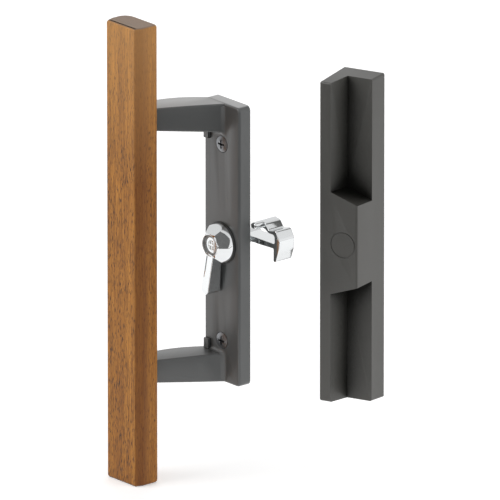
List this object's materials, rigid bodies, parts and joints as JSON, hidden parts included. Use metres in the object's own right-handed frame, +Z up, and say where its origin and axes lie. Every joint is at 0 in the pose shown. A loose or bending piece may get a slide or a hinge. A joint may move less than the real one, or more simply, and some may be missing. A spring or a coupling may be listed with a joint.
{
  "type": "sliding patio door handle",
  "caption": "Sliding patio door handle: wooden grip on a dark cast bracket with a chrome thumb turn and hook latch, and the matching outside pull.",
  "frame": {"origin": "on the thumb turn's axis, at the bracket plate's back face that lies on the door, midway between the two bolts", "axes": "+Z up along the grip, +X to the jamb that the hook points at, +Y into the door, -Y to the person inside"},
  "size_m": [0.0806, 0.113, 0.2327],
  "materials": {
    "cast_bracket": "satin",
    "cast_pull": "satin",
    "grip_wood": "satin oil",
    "chrome_plate": "polished",
    "bolt_steel": "black oxide",
    "zinc_steel": "zinc plated",
    "bushing_nylon": "moulded"
  },
  "bodies": {
    "handle": {"bracket": "cast_bracket", "grip_bar": "grip_wood", "grip_screw_upper": "zinc_steel", "grip_screw_lower": "zinc_steel", "through_bolt_upper": "bolt_steel", "through_bolt_lower": "bolt_steel", "turn_bushing": "bushing_nylon", "spring_washer": "zinc_steel", "outside_pull": "cast_pull"},
    "turn": {"thumb_turn": "chrome_plate", "turn_screw": "chrome_plate", "latch_hook": "chrome_plate"}
  },
  "joints": [
    {"name": "lock_turn", "type": "hinge", "parent": "handle", "child": "turn", "pos_m": [0, 0, 0], "axis": [0, -1, 0], "range_deg": [0, 90]}
  ]
}
